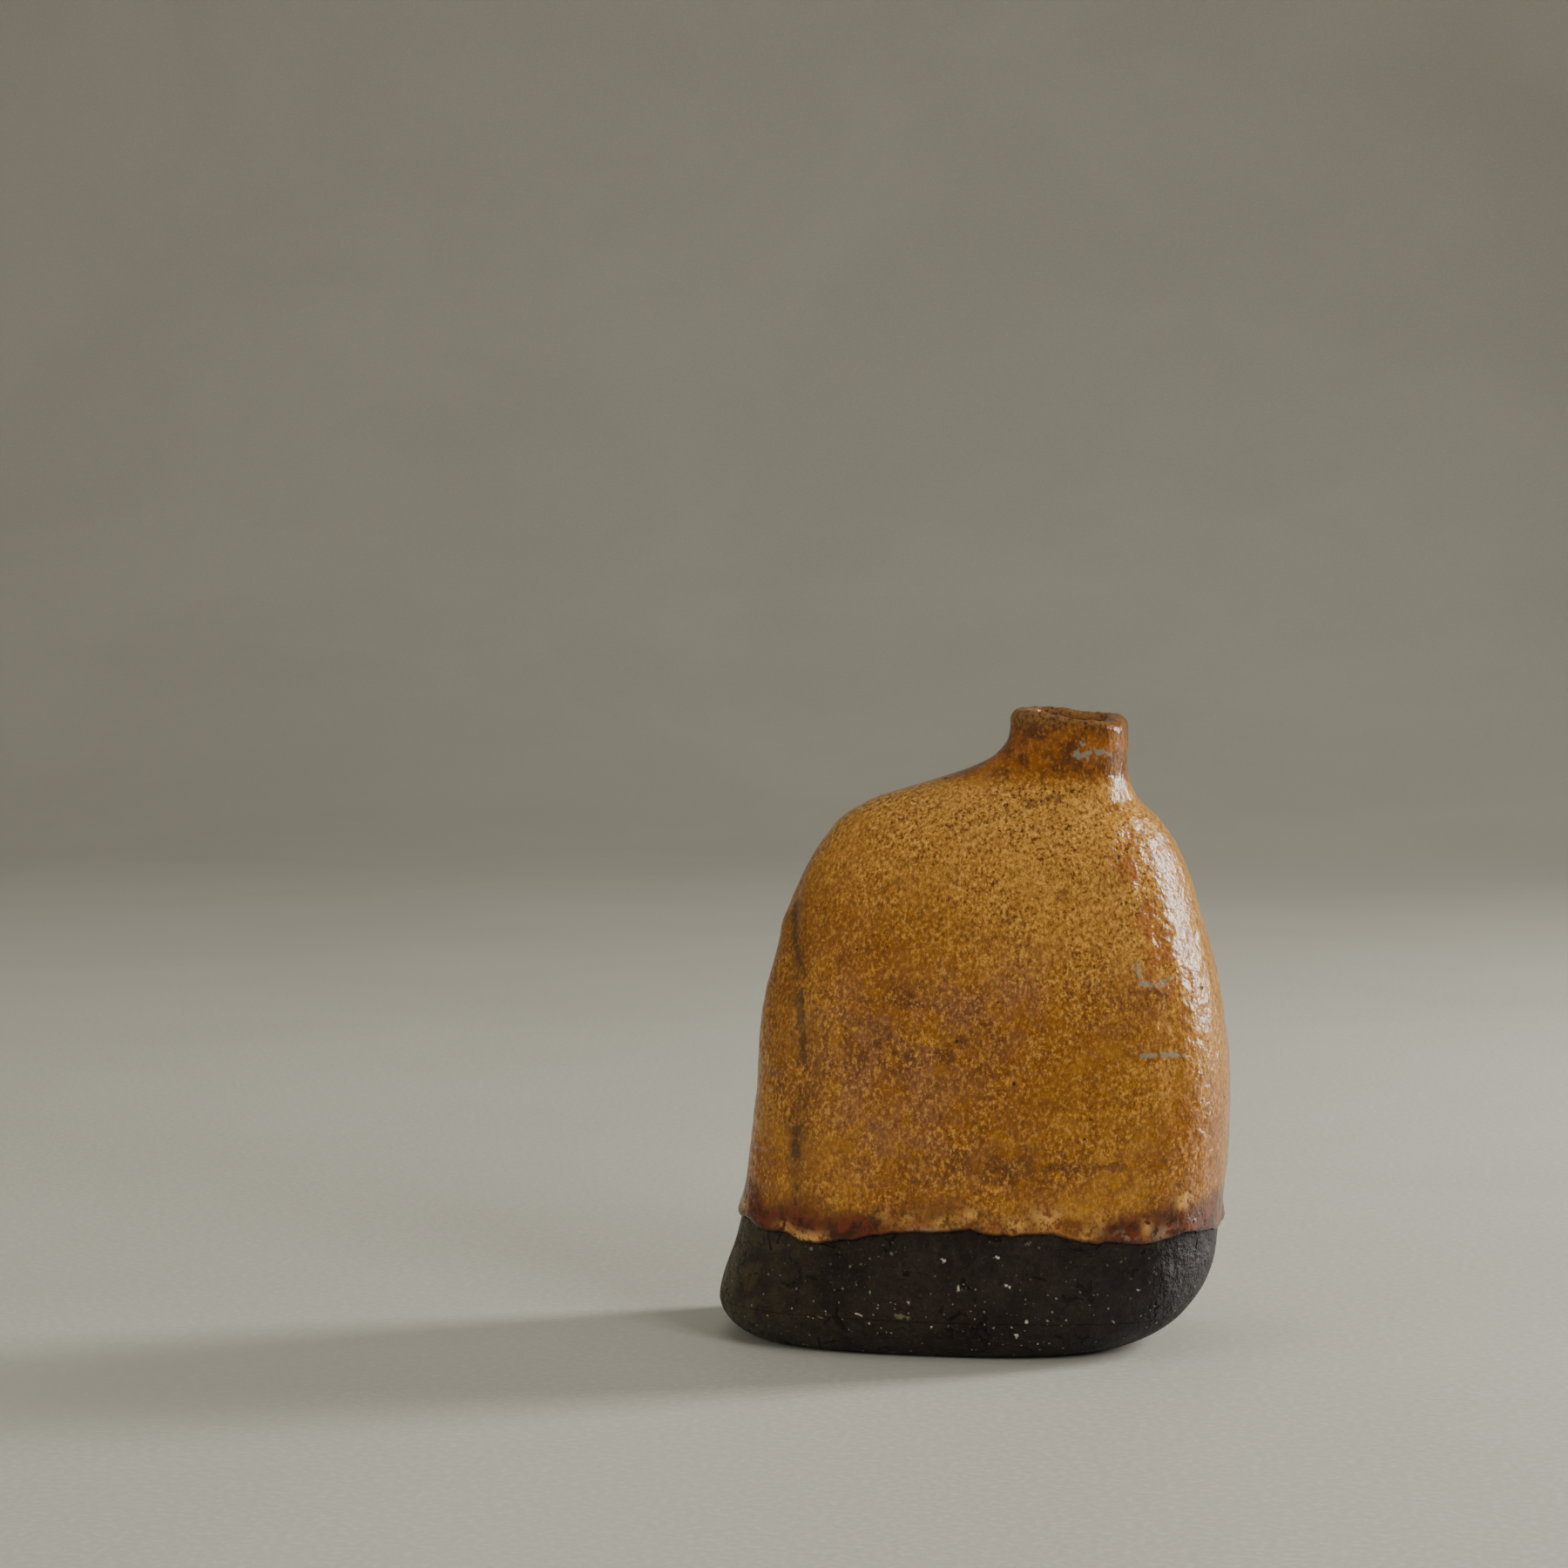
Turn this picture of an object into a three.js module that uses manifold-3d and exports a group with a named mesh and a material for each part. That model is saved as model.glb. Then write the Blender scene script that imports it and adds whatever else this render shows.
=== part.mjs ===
// A slab-built stoneware bud vase, in millimetres, +Z up.
//
// Four clay wall slabs stand on a floor slab and meet at the corners of a lopsided rounded
// rectangle. Soft coils are pressed into the corners inside, a collar is set on the shoulder
// and sealed with a coil at its foot, and two glazes are poured: one outside, one inside.
// The origin is at the middle of the footprint, on the surface the vase stands on.
// +X is the shoulder side that the neck leans to, and -Y is the front.

import * as THREE from 'three';
import { LoftGeometry } from 'three/addons/geometries/LoftGeometry.js';
import { mergeVertices } from 'three/addons/utils/BufferGeometryUtils.js';
import Module from 'manifold-3d';

// Overall sizes
const BODY_WIDTH = 78; // along X, over the glaze
const BODY_DEPTH = 46; // along Y, over the glaze
const BODY_HEIGHT = 86.2; // to the foot of the neck
const NECK_HEIGHT = 10; // from its foot to the clay lip
const NECK_WIDTH = 18; // along X, at its foot
const NECK_DEPTH = 16; // along Y, at its foot
const NECK_SHIFT = 13.2; // neck centre to body centre, towards +X

// Clay thicknesses
const WALL = 4;
const NECK_WALL = 2.5;
const FLOOR = 6;

// Glazes
const GLAZE = 0.6; // outer coat
const LINER = 0.45; // inner coat
const GLAZE_LINE = 17.8; // mean height where the outer coat stops above the bare foot
const GLAZE_WAVE = 0.55; // how far that edge wanders up and down
const GLAZE_GAP = 0.1; // coat to clay
const LINER_GAP = 0.2; // liner to clay
const LINER_DROP = 0.8; // liner edge below the clay lip

// Joints and coils
const JOINT = 0.3; // gap left between two pieces of clay
const SEAM_ANGLE = 42; // corner seams, in degrees from the X axis
const SEAM_COIL = 2.1; // how deep a corner coil is pressed into its seam
const SEAM_SPREAD = 21; // how far a corner coil reaches each side of its seam, in degrees
const NECK_COIL = 1.5; // radius of the coil round the neck foot
const FLOOR_FILLET = 3; // radius of the coil between floor and walls
const COIL_RISE = 4; // height over which a corner coil grows out of the floor coil
const COIL_FADE = 0.8; // shares of the body height where a corner coil starts to thin
const COIL_END = 0.88; // and ends
const THIN_START = 0.86; // share of the body height where the wall starts to thin to the neck's

// Rounded foot: quarter rounds under each side
const FOOT_ROUND_LEFT = 7;
const FOOT_ROUND_RIGHT = 17.5;
const FOOT_ROUND_FACE = 5.5;

// Lip
const LIP_ROUND = 1.1;
const LIP_TILT = 1.3; // the rim is this much lower on its +X side
const LIP_DIP = 0.9; // and has one shallow dip in front
const LIP_DIP_ANGLE = -55; // where the dip is, in degrees around the neck
const NECK_LEAN = 2; // the lip's -X edge is this far in from the neck foot's
const NECK_FLARE = 0.4; // and its +X edge this far out
const NECK_CREASE = 0.15; // share of the neck's height where it turns out of the shoulder
const LEAN_END = 0.8; // shares of the neck's height where its lean,
const FLARE_END = 0.5; // its flare
const SQUARE_END = 0.4; // and its squareness are full
const CROWN = 1.2; // the inner crown of the lip, above its outer round, as a share of it

// Edge outlines above the foot: [share of the body height, share of the way from neck to widest]
const LEFT_EDGE = [
  [0, 1], [0.076, 1], [0.188, 0.925], [0.282, 0.883], [0.435, 0.851], [0.587, 0.833],
  [0.716, 0.765], [0.81, 0.705], [0.88, 0.625], [0.927, 0.538], [0.962, 0.4],
  [0.986, 0.245], [1, 0.1],
];
const RIGHT_EDGE = [
  [0, 0.95], [0.12, 0.935], [0.22, 0.915], [0.32, 0.965], [0.43, 1], [0.54, 0.972],
  [0.65, 0.87], [0.76, 0.715], [0.86, 0.535], [0.92, 0.335], [0.962, 0.1], [1, 0.004],
];
const FACE_EDGE = [
  [0, 1], [0.076, 1], [0.188, 0.96], [0.435, 0.907], [0.587, 0.84], [0.716, 0.753],
  [0.81, 0.653], [0.88, 0.527], [0.927, 0.373], [0.962, 0.2], [1, 0.013],
];
// How square a horizontal section is: 2 is an ellipse, more is boxier
const SQUARENESS = [[0, 2.7], [0.13, 3], [0.55, 2.9], [0.85, 2.45], [0.95, 2.5], [1, 3]];
const NECK_SQUARENESS = 3.4;

// Fineness of the mesh
const AROUND = 36;
const COIL_SIDES = 6;
const FOOT_ROWS = 4;
const SIDE_ROWS = 5;
const SHOULDER_ROWS = 7;
const NECK_ROWS = 2;
const ROUND_ROWS = 2;
const HALVINGS = 30; // steps of the search for a level inside a wall
const FOOT_SHARE = 0.15; // shares of the body height where the rows change their spacing
const SHOULDER_SHARE = 0.64;
const INNER_SHOULDER_SHARE = 0.66;

const RIM = BODY_HEIGHT + NECK_HEIGHT;
const linerTop = RIM - LINER_DROP;
const mouth = RIM + GLAZE + 2; // a level above the whole vase
const DEGREE = Math.PI / 180;
const SEAMS = [-180 + SEAM_ANGLE, -SEAM_ANGLE, SEAM_ANGLE, 180 - SEAM_ANGLE];
const [FRONT_LEFT, FRONT_RIGHT, BACK_RIGHT, BACK_LEFT] = SEAMS;

const { lerp, smoothstep } = THREE.MathUtils;
const wasm = await Module();
wasm.setup();

// ---------------------------------------------------------------- outline

// A smooth curve through [position, value] points, as a function of position
function curveThrough(points) {
  const positions = points.map((point) => point[0]);
  const values = points.map((point) => point[1]);
  const interpolant = new THREE.CubicInterpolant(positions, values, 1, [0]);
  return (position) => interpolant.evaluate(position)[0];
}

const leftShare = curveThrough(LEFT_EDGE);
const rightShare = curveThrough(RIGHT_EDGE);
const faceShare = curveThrough(FACE_EDGE);
const squareness = curveThrough(SQUARENESS);

// How far a quarter round of this radius pulls the foot in at a height
function footInset(height, radius) {
  if (height >= radius) return 0;
  const rise = 1 - height / radius;
  return radius * (1 - Math.sqrt(1 - rise * rise));
}

// The clay's outline at a height: its -X edge, +X edge, half depth and squareness
function outline(height) {
  const up = Math.min(height / BODY_HEIGHT, 1);
  const neck = Math.max((height - BODY_HEIGHT) / NECK_HEIGHT, 0);
  const crease = 1 - smoothstep(neck, 0, NECK_CREASE);
  const lean = NECK_LEAN * smoothstep(neck, 0, LEAN_END);
  const flare = NECK_FLARE * smoothstep(neck, 0, FLARE_END);
  const neckLeft = NECK_SHIFT - NECK_WIDTH / 2 + lean;
  const neckRight = NECK_SHIFT + NECK_WIDTH / 2 + flare;
  const bodyLeft = -BODY_WIDTH / 2;
  const bodyRight = BODY_WIDTH / 2 - GLAZE;
  const left = lerp(neckLeft, bodyLeft, leftShare(up) * crease);
  const right = lerp(neckRight, bodyRight, rightShare(up) * crease);
  const face = lerp(NECK_DEPTH / 2, BODY_DEPTH / 2, faceShare(up) * crease);
  return {
    left: left + footInset(height, FOOT_ROUND_LEFT),
    right: right - footInset(height, FOOT_ROUND_RIGHT),
    face: face - footInset(height, FOOT_ROUND_FACE),
    square: lerp(squareness(up), NECK_SQUARENESS, smoothstep(neck, 0, SQUARE_END)),
  };
}

// A point of the clay's outer surface, by angle in degrees and height
function clayPoint(angle, height) {
  const { left, right, face, square } = outline(height);
  const across = Math.cos(angle * DEGREE);
  const along = Math.sin(angle * DEGREE);
  const reach = (Math.abs(across) ** square + Math.abs(along) ** square) ** (-1 / square);
  const middle = (left + right) / 2;
  const x = middle + ((right - left) / 2) * across * reach;
  return new THREE.Vector3(x, face * along * reach, height);
}

// The outward direction of the clay's surface there
function clayNormal(angle, height) {
  const step = 0.02;
  const low = Math.max(height - step, 0);
  const around = clayPoint(angle + step, height).sub(clayPoint(angle - step, height));
  const upward = clayPoint(angle, height + step).sub(clayPoint(angle, low));
  return around.cross(upward).normalize();
}

// The lip is not level: it tilts to the +X side and dips in front
function settle(point) {
  const lift = (point.z - BODY_HEIGHT) / NECK_HEIGHT;
  if (lift <= 0) return point;
  const tilt = (LIP_TILT * (point.x - NECK_SHIFT + NECK_WIDTH / 2)) / NECK_WIDTH;
  const angle = Math.atan2(point.y, point.x - NECK_SHIFT);
  const dip = LIP_DIP * Math.max(0, Math.cos(angle - LIP_DIP_ANGLE * DEGREE)) ** 3;
  point.z -= (tilt + dip) * Math.min(lift, 1);
  return point;
}

// ---------------------------------------------------------------- solids

const angles = Array.from({ length: AROUND }, (_, i) => (360 * i) / AROUND - 180);

function steps(from, to, count) {
  return Array.from({ length: count }, (_, i) => lerp(from, to, (i + 1) / count));
}

function solid(geometry) {
  const bare = new THREE.BufferGeometry();
  bare.setAttribute('position', geometry.getAttribute('position'));
  bare.setIndex(geometry.getIndex());
  const merged = mergeVertices(bare, 1e-4);
  const vertProperties = Float32Array.from(merged.getAttribute('position').array);
  const triVerts = Uint32Array.from(merged.getIndex().array);
  return new wasm.Manifold(new wasm.Mesh({ numProp: 3, vertProperties, triVerts }));
}

function loft(rings) {
  return solid(new LoftGeometry(rings, { capStart: true, capEnd: true }));
}

// Rows of the outer surface. Each has a height on the clay, the angle that its face has
// turned upwards over the lip, and how far in from the clay's side it lies.
const footTop = FOOT_SHARE * BODY_HEIGHT;
const shoulderStart = SHOULDER_SHARE * BODY_HEIGHT;
const creaseTop = BODY_HEIGHT + NECK_CREASE * NECK_HEIGHT;
const lipStart = RIM - LIP_ROUND;
const outerRows = [
  ...Array.from({ length: FOOT_ROWS }, (_, i) => footTop * (i / FOOT_ROWS) ** 2),
  footTop,
  ...steps(footTop, shoulderStart, SIDE_ROWS),
  ...steps(shoulderStart, BODY_HEIGHT, SHOULDER_ROWS),
  creaseTop,
  ...steps(creaseTop, lipStart, NECK_ROWS),
].map((height) => ({ height, turn: 0, inset: 0, rise: 0 }));
for (const turn of steps(0, 90, ROUND_ROWS)) {
  const inset = LIP_ROUND * (1 - Math.cos(turn * DEGREE));
  const rise = LIP_ROUND * Math.sin(turn * DEGREE);
  outerRows.push({ height: lipStart, turn, inset, rise });
}
const lipCrown = { inset: NECK_WALL + LIP_ROUND, rise: CROWN * LIP_ROUND };
outerRows.push({ height: lipStart, turn: 90, ...lipCrown });

// The outer surface moved out by an offset
function outerSolid(offset) {
  return loft(outerRows.map(({ height, turn, inset, rise }) => angles.map((angle) => {
    const normal = clayNormal(angle, height);
    const point = clayPoint(angle, height);
    point.addScaledVector(normal, offset * Math.cos(turn * DEGREE) - inset);
    point.z += rise + offset * Math.sin(turn * DEGREE);
    return settle(point);
  })));
}

// A round coil of clay along the crease at the neck foot
function neckRing(radius) {
  const rings = [...angles, angles[0]].map((angle) => {
    const centre = clayPoint(angle, BODY_HEIGHT);
    const outward = clayNormal(angle, BODY_HEIGHT).setZ(0).normalize();
    return Array.from({ length: COIL_SIDES }, (_, i) => {
      const turn = (i * 2 * Math.PI) / COIL_SIDES;
      const point = centre.clone().addScaledVector(outward, radius * Math.cos(turn));
      point.z -= radius * Math.sin(turn);
      return point;
    });
  });
  return solid(new LoftGeometry(rings));
}

function wallAt(height) {
  return lerp(WALL, NECK_WALL, smoothstep(height, THIN_START * BODY_HEIGHT, BODY_HEIGHT));
}

// The point at this level that lies a wall's thickness, and an inset, inside the clay's face,
// then pulled in level by a further amount
function insidePoint(angle, level, inset, pull) {
  const under = (height) => {
    const depth = wallAt(height) + inset;
    return clayPoint(angle, height).addScaledVector(clayNormal(angle, height), -depth);
  };
  let low = 0;
  let high = RIM + NECK_HEIGHT;
  for (let i = 0; i < HALVINGS; i += 1) {
    const middle = (low + high) / 2;
    if (under(middle).z < level) low = middle;
    else high = middle;
  }
  const outward = clayNormal(angle, low).setZ(0).normalize();
  return under(low).setZ(level).addScaledVector(outward, -pull);
}

// Corner seams as a share from 0 to 1: full at the seam, nothing between the corners,
// and fading out above the floor coil and below the neck
function seamShare(angle, level) {
  const nearest = Math.min(...SEAMS.map((seam) => Math.abs(seam - angle)));
  if (nearest >= SEAM_SPREAD) return 0;
  const start = FLOOR + FLOOR_FILLET;
  const rise = smoothstep(level, start, start + COIL_RISE);
  const fade = 1 - smoothstep(level, COIL_FADE * BODY_HEIGHT, COIL_END * BODY_HEIGHT);
  return Math.cos((nearest / SEAM_SPREAD) * 90 * DEGREE) ** 2 * rise * fade;
}

const innerShoulderStart = INNER_SHOULDER_SHARE * BODY_HEIGHT;
const insideLevels = [
  footTop,
  ...steps(footTop, innerShoulderStart, SIDE_ROWS),
  ...steps(innerShoulderStart, BODY_HEIGHT - WALL / 2, SHOULDER_ROWS),
  BODY_HEIGHT + NECK_WALL,
  linerTop,
];

// The hollow, drawn in by an inset. The fillet rounds its foot, a seam share widens its
// corners, and it runs up to a top level inside the neck.
function hollow({ inset = 0, fillet = 0, seam = 0, floor = FLOOR + inset, top }) {
  const rows = [];
  for (const turn of [0, ...steps(0, 90, ROUND_ROWS)]) {
    const level = floor + Math.max(fillet - inset, 0) * (1 - Math.cos(turn * DEGREE));
    const pull = Math.max(fillet - inset, 0) * (1 - Math.sin(turn * DEGREE));
    if (fillet || turn === 0) rows.push({ level, pull });
  }
  if (!fillet) rows.push({ level: FLOOR + FLOOR_FILLET, pull: 0 });
  const levels = insideLevels.filter((level) => level < top - JOINT);
  rows.push(...[...levels, top].map((level) => ({ level, pull: 0 })));
  return loft(rows.map(({ level, pull }) => angles.map((angle) => {
    const widen = seam * seamShare(angle, level);
    return settle(insidePoint(angle, level, inset - widen, pull));
  })));
}

// Everything between two levels
function band(from, to) {
  const size = 2 * (BODY_WIDTH + BODY_DEPTH);
  const box = new THREE.BoxGeometry(size, size, to - from);
  box.translate(0, 0, (from + to) / 2);
  return solid(box);
}

// The upright wedge between two corner seams, half a joint clear of each. Its edge stands
// in the middle of the neck, and its sides run through the corners at mid height.
function wedge(from, to) {
  const far = 3 * BODY_WIDTH;
  const edge = new THREE.Vector3(NECK_SHIFT, 0, 0);
  const direction = (angle) => clayPoint(angle, BODY_HEIGHT / 2).sub(edge).setZ(0).normalize();
  const start = direction(from);
  const end = direction(to);
  const startGap = new THREE.Vector3(-start.y, start.x, 0).multiplyScalar(JOINT / 2);
  const endGap = new THREE.Vector3(end.y, -end.x, 0).multiplyScalar(JOINT / 2);
  const tip = start.clone().add(end).normalize().multiplyScalar(JOINT).add(edge);
  const corners = [
    tip,
    start.multiplyScalar(far).add(edge).add(startGap),
    end.multiplyScalar(far).add(edge).add(endGap),
  ];
  return loft([-1, mouth].map((level) => corners.map((corner) => corner.clone().setZ(level))));
}

// The quarter of the body on one side of each axis
function quarter(sideX, sideY) {
  const size = BODY_WIDTH;
  const box = new THREE.BoxGeometry(size, size, 2 * mouth);
  box.translate((sideX * size) / 2, (sideY * size) / 2, 0);
  return solid(box);
}

// ---------------------------------------------------------------- the pieces

const clay = outerSolid(0);
const neckCoil = clay.intersect(neckRing(NECK_COIL));
const shell = clay
  .subtract(neckRing(NECK_COIL + JOINT))
  .subtract(hollow({ seam: SEAM_COIL, floor: FLOOR, top: mouth }));
const walls = shell.intersect(band(FLOOR + JOINT, BODY_HEIGHT - JOINT / 2));
const collar = shell.intersect(band(BODY_HEIGHT + JOINT / 2, mouth));
const floorSlab = clay.intersect(band(-1, FLOOR));

const cavity = hollow({ fillet: FLOOR_FILLET, top: mouth });
const coils = hollow({ inset: JOINT, seam: SEAM_COIL, top: BODY_HEIGHT }).subtract(cavity);
const coilStart = FLOOR + FLOOR_FILLET;
const floorCoil = coils.intersect(band(0, coilStart));
const cornerCoils = coils.intersect(band(coilStart, BODY_HEIGHT - WALL));

// The outer coat's lower edge wanders as it ran in the kiln
function glazeEdge(angle) {
  const slow = Math.sin((2 * angle + 40) * DEGREE);
  const quick = Math.sin((7 * angle - 25) * DEGREE);
  return GLAZE_LINE + GLAZE_WAVE * (0.65 * slow + 0.35 * quick);
}

function belowGlaze() {
  const ringAt = (levelAt, reach) => angles.map((angle) => {
    const x = reach * Math.cos(angle * DEGREE);
    return new THREE.Vector3(x, reach * Math.sin(angle * DEGREE), levelAt(angle));
  });
  const bottom = ringAt(() => -1, BODY_WIDTH);
  const top = ringAt((angle) => glazeEdge(angle) + JOINT, BODY_DEPTH / 4);
  return loft([bottom, ringAt(glazeEdge, BODY_WIDTH), top]);
}

const glazeCoat = outerSolid(GLAZE)
  .subtract(outerSolid(GLAZE_GAP))
  .subtract(belowGlaze())
  .subtract(hollow({ top: mouth }));
const liner = hollow({ inset: LINER_GAP, fillet: FLOOR_FILLET, top: linerTop })
  .subtract(hollow({ inset: LINER_GAP + LINER, fillet: FLOOR_FILLET, top: mouth }));

// ---------------------------------------------------------------- the scene

const stoneware = { color: 0x2e241c, roughness: 0.88, metalness: 0 };
const amberGlaze = { color: 0x8a5a24, roughness: 0.34, metalness: 0 };
const linerGlaze = { color: 0x6b4c2a, roughness: 0.3, metalness: 0 };

const vase = new THREE.Group();

function addPiece(name, manifold, finish) {
  const mesh = manifold.getMesh();
  const geometry = new THREE.BufferGeometry();
  geometry.setAttribute('position', new THREE.BufferAttribute(mesh.vertProperties, 3));
  geometry.setIndex(new THREE.BufferAttribute(mesh.triVerts, 1));
  geometry.computeVertexNormals();
  const piece = new THREE.Mesh(geometry, new THREE.MeshStandardMaterial(finish));
  piece.name = name;
  vase.add(piece);
}

addPiece('floor_slab', floorSlab, stoneware);
addPiece('front_slab', walls.intersect(wedge(FRONT_LEFT, FRONT_RIGHT)), stoneware);
addPiece('right_side_slab', walls.intersect(wedge(FRONT_RIGHT, BACK_RIGHT)), stoneware);
addPiece('back_slab', walls.intersect(wedge(BACK_RIGHT, BACK_LEFT)), stoneware);
addPiece('left_side_slab', walls.intersect(wedge(BACK_LEFT, FRONT_LEFT + 360)), stoneware);
addPiece('neck_collar', collar, stoneware);
addPiece('neck_joint_coil', neckCoil, stoneware);
addPiece('floor_seam_coil', floorCoil, stoneware);
addPiece('seam_coil_front_left', cornerCoils.intersect(quarter(-1, -1)), stoneware);
addPiece('seam_coil_front_right', cornerCoils.intersect(quarter(1, -1)), stoneware);
addPiece('seam_coil_back_right', cornerCoils.intersect(quarter(1, 1)), stoneware);
addPiece('seam_coil_back_left', cornerCoils.intersect(quarter(-1, 1)), stoneware);
addPiece('glaze_coat', glazeCoat, amberGlaze);
addPiece('liner_glaze', liner, linerGlaze);

export default vase;
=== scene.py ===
"""A small slab-built stoneware vase: amber glaze over a bare chocolate clay foot."""

import math

import bmesh
import bpy
import numpy as np
from mathutils import Matrix, Vector, noise


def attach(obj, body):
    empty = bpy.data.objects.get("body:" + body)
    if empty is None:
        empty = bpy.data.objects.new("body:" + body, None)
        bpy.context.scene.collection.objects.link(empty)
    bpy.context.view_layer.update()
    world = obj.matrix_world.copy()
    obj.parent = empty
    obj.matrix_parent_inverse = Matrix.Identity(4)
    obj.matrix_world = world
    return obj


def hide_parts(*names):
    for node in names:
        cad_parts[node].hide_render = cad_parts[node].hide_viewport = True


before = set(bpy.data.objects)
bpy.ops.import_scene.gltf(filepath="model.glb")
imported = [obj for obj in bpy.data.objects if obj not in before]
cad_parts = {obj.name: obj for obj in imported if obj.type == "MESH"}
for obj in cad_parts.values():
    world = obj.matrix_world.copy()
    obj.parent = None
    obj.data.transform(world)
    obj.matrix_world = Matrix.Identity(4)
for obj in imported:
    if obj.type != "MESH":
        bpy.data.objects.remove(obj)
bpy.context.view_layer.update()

# ---------------------------------------------------------------- sizes, in millimetres

MM = 0.001
BODY_WIDTH = 78
BODY_DEPTH = 46
BODY_HEIGHT = 86.2
NECK_HEIGHT = 10
NECK_WIDTH = 18
NECK_DEPTH = 16
NECK_SHIFT = 13.2
NECK_LEAN = 2
NECK_FLARE = 0.4
NECK_CREASE = 0.15
NECK_SQUARENESS = 3.4
LEAN_END = 0.8     # shares of the neck's height where its lean,
FLARE_END = 0.5    # its flare
SQUARE_END = 0.4   # and its squareness are full
NECK_LIMIT = 1.2
RIM = BODY_HEIGHT + NECK_HEIGHT

WALL = 4
NECK_WALL = 2.5
FLOOR = 6
GLAZE = 0.6
GLAZE_LINE = 17.8
GLAZE_WAVE = 0.55
FOOT_ROUND_LEFT = 7
FOOT_ROUND_RIGHT = 17.5
FOOT_ROUND_FACE = 5.5
LIP_ROUND = 1.1
LIP_TILT = 1.3
LIP_DIP = 0.9
LIP_DIP_ANGLE = -55
SEAMS = (-138, -42, 42, 138)
LIP_START = RIM - LIP_ROUND

# Shares of the way from the neck's outline to the body's widest, against height
LEFT_EDGE = [
    (0, 1), (0.076, 1), (0.188, 0.925), (0.282, 0.883), (0.435, 0.851), (0.587, 0.833),
    (0.716, 0.765), (0.81, 0.705), (0.88, 0.625), (0.927, 0.538), (0.962, 0.4),
    (0.986, 0.245), (1, 0.1),
]
RIGHT_EDGE = [
    (0, 0.95), (0.12, 0.935), (0.22, 0.915), (0.32, 0.965), (0.43, 1), (0.54, 0.972),
    (0.65, 0.87), (0.76, 0.715), (0.86, 0.535), (0.92, 0.335), (0.962, 0.1), (1, 0.004),
]
FACE_EDGE = [
    (0, 1), (0.076, 1), (0.188, 0.96), (0.435, 0.907), (0.587, 0.84), (0.716, 0.753),
    (0.81, 0.653), (0.88, 0.527), (0.927, 0.373), (0.962, 0.2), (1, 0.013),
]
SQUARENESS = [(0, 2.7), (0.13, 3), (0.55, 2.9), (0.85, 2.45), (0.95, 2.5), (1, 3)]


# ---------------------------------------------------------------- the vase's surface

def lerp(start, end, share):
    return start + (end - start) * share


def smoothstep(value, low, high):
    share = np.clip((value - low) / (high - low), 0, 1)
    return share * share * (3 - 2 * share)


def through(points, at):
    """The smooth curve through a few points, read at an array of places."""
    places = np.array([p[0] for p in points], float)
    values = np.array([p[1] for p in points], float)
    at = np.clip(np.asarray(at, float), places[0], places[-1])
    right = np.clip(np.searchsorted(places, at, side="right"), 1, len(places) - 1)
    left = right - 1
    before = np.where(left > 0, left - 1, right)
    after = np.where(right < len(places) - 1, np.minimum(right + 1, len(places) - 1), left)
    start, end = places[left], places[right]
    half = (end - start) / 2
    lean = half / (start - places[before])
    lead = half / (places[after] - end)
    p = (at - start) / (end - start)
    return (
        (-lean * p**3 + 2 * lean * p**2 - lean * p) * values[before]
        + ((1 + lean) * p**3 - (1.5 + 2 * lean) * p**2 + (lean - 0.5) * p + 1) * values[left]
        + (-(1 + lead) * p**3 + (1.5 + lead) * p**2 + 0.5 * p) * values[right]
        + (lead * p**3 - lead * p**2) * values[after]
    )


def foot_inset(height, radius):
    drop = 1 - np.clip(height / radius, 0, 1)
    return radius * (1 - np.sqrt(1 - drop**2))


def clay_point(angle, height):
    """Points on the clay's face, in millimetres, from angles in degrees and heights."""
    up = np.minimum(height / BODY_HEIGHT, 1)
    neck = np.clip((height - BODY_HEIGHT) / NECK_HEIGHT, 0, NECK_LIMIT)
    crease = 1 - smoothstep(neck, 0, NECK_CREASE)
    neck_left = NECK_SHIFT - NECK_WIDTH / 2 + NECK_LEAN * smoothstep(neck, 0, LEAN_END)
    neck_right = NECK_SHIFT + NECK_WIDTH / 2 + NECK_FLARE * smoothstep(neck, 0, FLARE_END)
    left = lerp(neck_left, -BODY_WIDTH / 2, through(LEFT_EDGE, up) * crease)
    right = lerp(neck_right, BODY_WIDTH / 2 - GLAZE, through(RIGHT_EDGE, up) * crease)
    face = lerp(NECK_DEPTH / 2, BODY_DEPTH / 2, through(FACE_EDGE, up) * crease)
    left = left + foot_inset(height, FOOT_ROUND_LEFT)
    right = right - foot_inset(height, FOOT_ROUND_RIGHT)
    face = face - foot_inset(height, FOOT_ROUND_FACE)
    square = lerp(through(SQUARENESS, up), NECK_SQUARENESS, smoothstep(neck, 0, SQUARE_END))
    cos, sin = np.cos(np.radians(angle)), np.sin(np.radians(angle))
    reach = (np.abs(cos) ** square + np.abs(sin) ** square) ** (-1 / square)
    x = (left + right) / 2 + (right - left) / 2 * cos * reach
    return np.stack([x, face * sin * reach, height + 0 * x], -1)


def clay_normal(angle, height):
    step = 0.02
    around = clay_point(angle + step, height) - clay_point(angle - step, height)
    upward = clay_point(angle, height + step) - clay_point(angle, np.maximum(height - step, 0))
    across = np.cross(around, upward)
    return across / np.linalg.norm(across, axis=-1, keepdims=True)


def settle(point):
    """The lip tilts down to the right and dips in front."""
    lift = np.clip((point[..., 2] - BODY_HEIGHT) / NECK_HEIGHT, 0, 1)
    x, y = point[..., 0] - NECK_SHIFT, point[..., 1]
    tilt = LIP_TILT * (x + NECK_WIDTH / 2) / NECK_WIDTH
    turn = np.arctan2(y, x) - math.radians(LIP_DIP_ANGLE)
    point[..., 2] -= (tilt + LIP_DIP * np.maximum(0, np.cos(turn)) ** 3) * lift
    return point


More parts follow.
